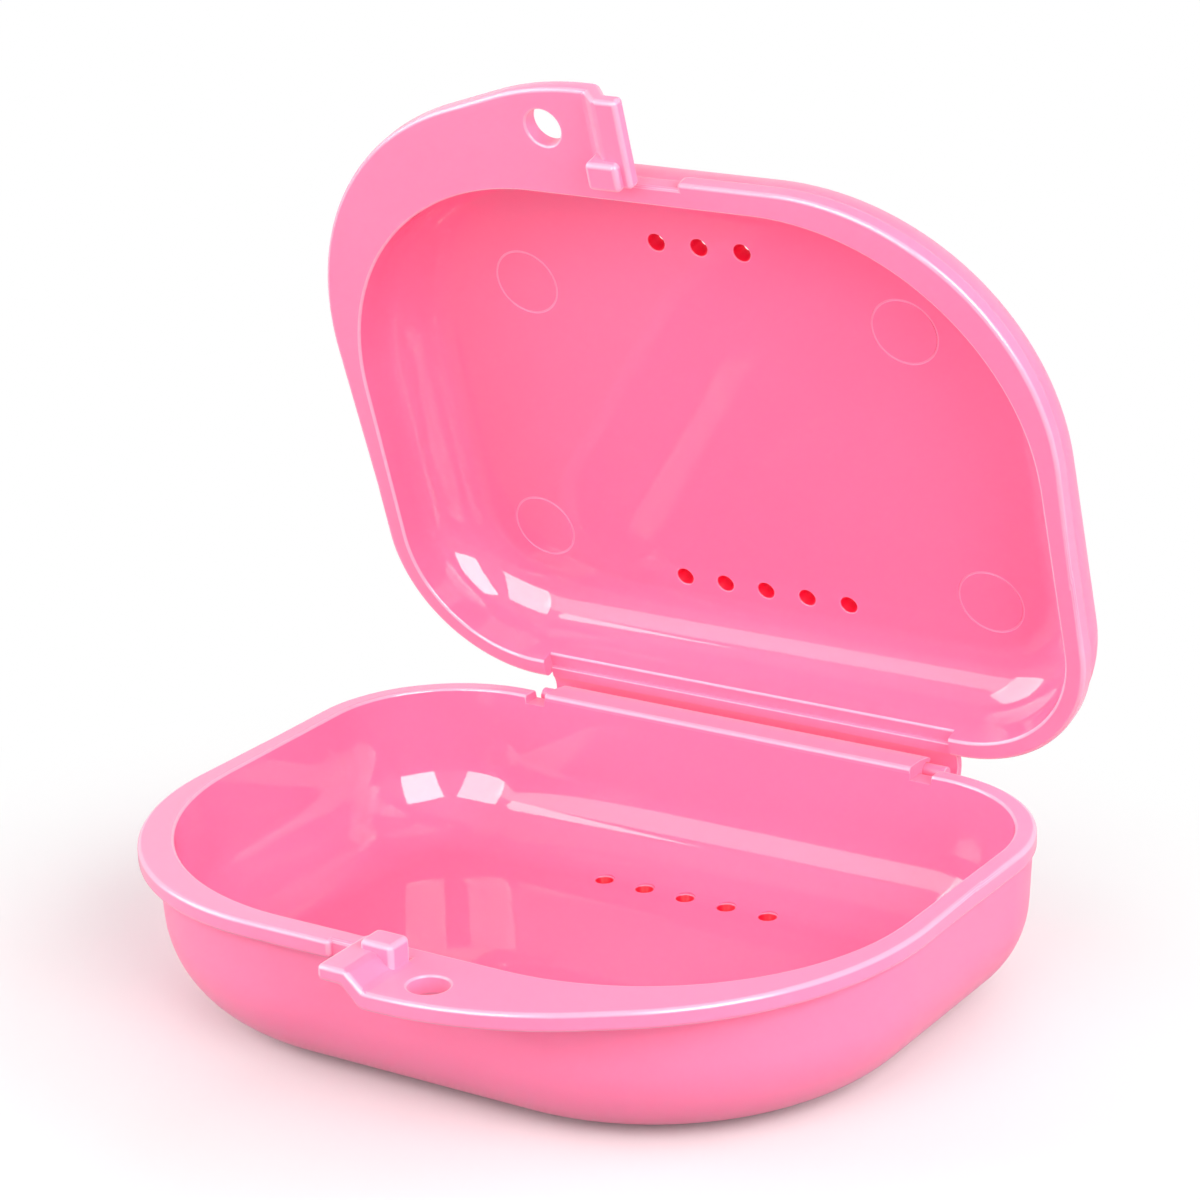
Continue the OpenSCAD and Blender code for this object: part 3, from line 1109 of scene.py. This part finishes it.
@dataclass
class LidHalf(Half):
    """Lid, with the leaf and its bead and the ejector marks."""

    base_depth: float = 16.3
    marks: Marks = Marks()

    @property
    def marks_at(self) -> list[Vector]:
        """Middles of the ejector marks, on the floor of the bowl."""
        m, z = self.marks, self.walls.floor_t - self.depth
        plan = ((m.front_x, m.front_y), (m.back_x, m.back_y))
        return [Vector((s * x, y, z)) for x, y in plan for s in (-1, 1)]

    def hinge_section(self, pen: Pen) -> Pen:
        """Draws the leaf's section: over the strip, round behind it and into the bead.

        Args:
            pen: a pen that turns about the hinge's length.

        Returns:
            The pen, with the outline drawn.
        """
        h, x = self.hinge, -self.hinge.leaf_half
        low, top = h.leaf_under - h.axis_z, h.leaf_under - h.axis_z + h.leaf_t
        start = math.degrees(math.pi - math.asin(low / h.leaf_in_r))
        end = math.degrees(math.pi - math.asin(top / h.leaf_out_r))
        bead = 360 - h.join_low - h.join_top
        root_y = self.cavity.half_l + h.leaf_step
        pen.start((x, root_y, h.leaf_under)).line(h.at(start, h.leaf_in_r, x))
        pen.arc(h.axis_at(x), h.join_top - start, h.leaf_in_steps).line(h.at(h.join_top, h.bead_r, x))
        pen.arc(h.axis_at(x), bead, h.bead_steps).line(h.at(-h.join_low, h.leaf_out_r, x))
        pen.arc(h.axis_at(x), end + h.join_low, h.leaf_out_steps)
        return pen.line((x, root_y, h.leaf_under + h.leaf_t))

    def recess(self) -> BMesh:
        """Makes the cutter of the recess over the hinge strip, which rounds its upper edge in the bowl.

        Returns:
            The cutter.
        """
        h, x, r, clear = self.hinge, -self.hinge.leaf_half, self.hinge.recess_round, self.hinge.recess_clear
        top, back = h.leaf_under + h.leaf_lip, self.cavity.half_l + self.walls.rim_w + clear
        lean = math.tan(math.radians(self.walls.draft)) * (top + r)
        wall_y = self.cavity.half_l - lean - h.recess_in
        pen = Pen(bmesh.new(), ACROSS).start((x, wall_y - clear, -clear))
        pen.line((x, back, -clear)).line((x, back, top)).line((x, wall_y + r, top))
        pen.arc((x, wall_y + r, top + r), -90, h.round_steps).line((x, wall_y - clear, top + r))
        return pen.extrude(ACROSS * 2 * h.leaf_half)

    def in_mark(self, at: Vector) -> bool:
        """Tells whether a point lies in the line of an ejector mark.

        Args:
            at: the point.

        Returns:
            True if it does.
        """
        m, low = self.marks, self.marks.depth + WELD
        near = (at - mark for mark in self.marks_at)
        return any(abs(d.length - m.ring_r) < m.line_w and -low < d.z < -WELD for d in near)

    def rings(self) -> list[BMesh]:
        """Makes the cutters of the ejector marks.

        Returns:
            The cutters.
        """
        m, made = self.marks, []
        deep, clear = UP * m.depth, UP * m.clear
        for mark in self.marks_at:
            inner, outer = (mark + ACROSS * (m.ring_r + side * m.line_w / 2) for side in (-1, 1))
            pen = Pen(bmesh.new(), -BACKWARDS).start(inner + clear).line(inner - deep)
            pen.line(outer - deep).line(outer + clear).line(inner + clear)
            made.append(pen.turn_solid(mark, m.ring_steps))
        return made

    def build(self) -> BMesh:
        """Makes the lid: half with its marks, turned over, a recess over the strip, and the leaf.

        Returns:
            The moulding, shut.
        """
        h = self.hinge
        body = shaped(self.half(), self.rings(), Boolean.CUT)
        for face in body.faces:
            # the ring lines take the ejector finish, whose paleness is a painted highlight
            if self.in_mark(face.calc_center_median()):
                face.material_index = Polish.EJECTOR.value
        bmesh.ops.transform(body, matrix=Matrix.Rotation(math.pi, 4, "Y"), verts=body.verts[:])
        body = shaped(body, [self.recess()], Boolean.CUT)
        leaf = self.hinge_section(Pen(bmesh.new(), ACROSS)).extrude(ACROSS * 2 * h.leaf_half)
        return shaped(body, [rounded(leaf, h.edge_round, h.round_steps)], Boolean.JOIN)

    def place(self) -> Matrix:
        """Swings the lid open about the hinge and lifts it on to the base.

        Returns:
            The matrix from the shut case, in millimetres, to the row's frame.
        """
        axis = self.hinge.axis_at(0)
        swing = Matrix.Translation(axis) @ Matrix.Rotation(math.radians(-self.hinge.open_angle), 4, "X")
        swing = swing @ Matrix.Translation(-axis)
        return Matrix.Scale(MM, 4) @ Matrix.Translation(UP * self.base_depth) @ swing


# Stage


@dataclass(frozen=True)
class Camera:
    """Camera of the photograph: a long lens that looks down on the case from the right."""

    lens_mm: float = 114.639
    sensor_mm: float = 36.0
    azimuth: float = 33.226
    elevation: float = 19.268
    roll: float = -1.867
    place_mm: tuple[float, float, float] = (184.833, -275.167, 155.061)

    def build(self) -> None:
        """Adds the camera and makes it the scene's own."""
        data = bpy.data.cameras.new("camera")
        data.lens, data.sensor_width, data.sensor_fit = self.lens_mm, self.sensor_mm, "HORIZONTAL"
        made = bpy.data.objects.new("camera", data)
        made.location = Vector(self.place_mm) * MM
        turn = Matrix.Rotation(math.radians(self.azimuth), 3, "Z")
        turn = turn @ Matrix.Rotation(math.radians(90 - self.elevation), 3, "X")
        made.rotation_euler = (turn @ Matrix.Rotation(math.radians(self.roll), 3, "Z")).to_euler()
        bpy.context.scene.collection.objects.link(made)
        bpy.context.scene.camera = made


@dataclass(frozen=True)
class Window:
    """A soft window of light that faces the case; its image in the gloss has a power of its own."""

    name: str
    azimuth: float
    elevation: float
    size_mm: tuple[float, float]
    watts: float
    gloss_watts: float  # power of its image in the gloss
    distance_mm: float = 600.0
    image_step_mm: float = 20.0  # how far the image stands in front of the light
    aim_mm: tuple[float, float, float] = (0.0, 15.0, 20.0)
    image_colour: str = "#FFFAE8"

    def lamp(self, name: str, watts: float, distance_mm: float) -> bpy.types.Object:
        """Adds one lamp of the window.

        Args:
            name: the lamp's name.
            watts: its power.
            distance_mm: how far it stands from the case.

        Returns:
            The lamp.
        """
        data = bpy.data.lights.new(name, "AREA")
        data.shape, data.size, data.size_y = "RECTANGLE", self.size_mm[0] * MM, self.size_mm[1] * MM
        data.energy = watts
        made = bpy.data.objects.new(name, data)
        turn = Euler((math.radians(90 - self.elevation), 0, math.radians(self.azimuth)))
        made.location = (Vector(self.aim_mm) + turn.to_matrix() @ UP * distance_mm) * MM
        made.rotation_euler = turn
        bpy.context.scene.collection.objects.link(made)
        return made

    def build(self) -> None:
        """Adds the window's light, and in front of it its image."""
        if self.watts:
            self.lamp(f"{self.name}_light", self.watts, self.distance_mm).visible_glossy = False
        if self.gloss_watts:
            near_mm = self.distance_mm - self.image_step_mm
            image = self.lamp(f"{self.name}_image", self.gloss_watts, near_mm)
            image.data.color = linear(self.image_colour)[:3]
            image.visible_diffuse = False


@dataclass(frozen=True)
class Studio:
    """White studio: a paper floor that runs out to white, a white surround, and windows all round."""

    paper: float = 0.8  # tone of the paper to the camera
    paper_bounce: float = 0.45  # tone of the paper to the case, which stands for a smaller sheet
    floor_mm: float = 6000.0
    fade_mm: tuple[float, float] = (44.0, 95.0)  # where the paper starts and ends running out
    fade_centre_mm: tuple[float, float, float] = (-2.0, -13.0, 0.0)
    surround: float = 0.5
    windows: tuple[Window, ...] = (
        Window("side", azimuth=115.0, elevation=25.0, size_mm=(460, 460), watts=2.0, gloss_watts=0.0),
        Window("right", azimuth=62.0, elevation=28.0, size_mm=(360, 460), watts=2.6, gloss_watts=7.8),
        Window("middle", azimuth=-4.0, elevation=28.0, size_mm=(400, 460), watts=1.4, gloss_watts=6.8),
        Window("gap", azimuth=-34.0, elevation=22.0, size_mm=(240, 260), watts=0.0, gloss_watts=0.7),
        Window("left", azimuth=-62.0, elevation=24.0, size_mm=(340, 400), watts=1.0, gloss_watts=3.5),
        Window("low", azimuth=-74.0, elevation=10.0, size_mm=(460, 300), watts=1.7, gloss_watts=0.0),
        Window("back", azimuth=195.0, elevation=16.0, size_mm=(700, 400), watts=1.6, gloss_watts=0.0),
    )

    def floor(self) -> None:
        """Adds the floor: paper that takes the case's shadow, and runs out to plain white for the camera."""
        bm = bmesh.new()
        bmesh.ops.create_grid(bm, x_segments=1, y_segments=1, size=self.floor_mm / 2 * MM)
        made = as_object(bm, "floor")
        paint = bpy.data.materials.new("white_paper")
        paint.use_nodes = True
        tree = paint.node_tree
        tree.nodes.clear()
        seen = node(tree, "ShaderNodeLightPath", {}, {}).outputs["Is Camera Ray"]
        tone = node(
            tree,
            "ShaderNodeMapRange",
            {},
            {"Value": seen, "To Min": self.paper_bounce, "To Max": self.paper},
        ).outputs["Result"]
        place = node(tree, "ShaderNodeTexCoord", {}, {}).outputs["Object"]
        centre = Vector(self.fade_centre_mm) * MM
        away = node(tree, "ShaderNodeVectorMath", {"operation": "DISTANCE"}, {0: place, 1: centre})
        near, far = self.fade_mm
        fade = node(
            tree,
            "ShaderNodeMapRange",
            {"interpolation_type": "SMOOTHSTEP"},
            {
                "Value": away.outputs["Value"],
                "From Min": near * MM,
                "From Max": far * MM,
                "To Max": seen,
            },
        ).outputs["Result"]
        paper = node(tree, "ShaderNodeBsdfDiffuse", {}, {"Color": tone}).outputs["BSDF"]
        white = node(tree, "ShaderNodeEmission", {}, {"Strength": 1.0}).outputs["Emission"]
        both = node(tree, "ShaderNodeMixShader", {}, {0: fade, 1: paper, 2: white}).outputs["Shader"]
        node(tree, "ShaderNodeOutputMaterial", {}, {"Surface": both})
        made.data.materials.append(paint)

    def surroundings(self) -> None:
        """Lights the scene from all round, and shows white to the camera, in gloss and through holes."""
        world = bpy.data.worlds.new("white_studio")
        bpy.context.scene.world = world
        world.use_nodes = True
        tree = world.node_tree
        tree.nodes.clear()
        seen: Any = 0.0
        rays = node(tree, "ShaderNodeLightPath", {}, {}).outputs
        for kind in ("Is Camera Ray", "Is Glossy Ray", "Is Transmission Ray"):
            either = node(tree, "ShaderNodeMath", {"operation": "MAXIMUM"}, {0: seen, 1: rays[kind]})
            seen = either.outputs["Value"]
        strength = node(tree, "ShaderNodeMapRange", {}, {"Value": seen, "To Min": self.surround})
        sky = node(tree, "ShaderNodeBackground", {}, {"Strength": strength.outputs["Result"]})
        node(tree, "ShaderNodeOutputWorld", {}, {"Surface": sky.outputs["Background"]})

    def build(self) -> None:
        """Adds the floor, the surroundings and the windows."""
        self.floor()
        self.surroundings()
        for window in self.windows:
            window.build()


def main() -> None:
    """Builds the stage and both halves of the case, and reports them."""
    logging.basicConfig(level=logging.INFO, format="%(message)s")
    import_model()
    bpy.context.scene.view_settings.view_transform = "Standard"
    Camera().build()
    Studio().build()
    finishes = [finish.material() for finish in (RIM, OUTSIDE, INSIDE, PIN, EJECTOR)]
    base = BaseHalf(
        side=Side.BASE,
        depth=16.3,
        edge_r=9.6,
        flange=Flange(
            lobe_r=33.0, lobe_reach=9.75, lobe_side=2.25, lobe_back=24.95, lanyard_x=8.05, lanyard_y=5.7
        ),
    )
    lid = LidHalf(
        side=Side.LID,
        depth=9.8,
        edge_r=7.6,
        flange=Flange(
            lobe_r=29.8, lobe_reach=11.45, lobe_side=2.55, lobe_back=20.4, lanyard_x=8.85, lanyard_y=7.05
        ),
        latch=Latch(hook=0.8, window_w=4.5),
        base_depth=base.depth,
    )
    for half in (base, lid):
        piece = half.dress(finishes)
        log.info("%s: %d faces", piece.name, len(piece.data.polygons))


if __name__ == "__main__":
    main()
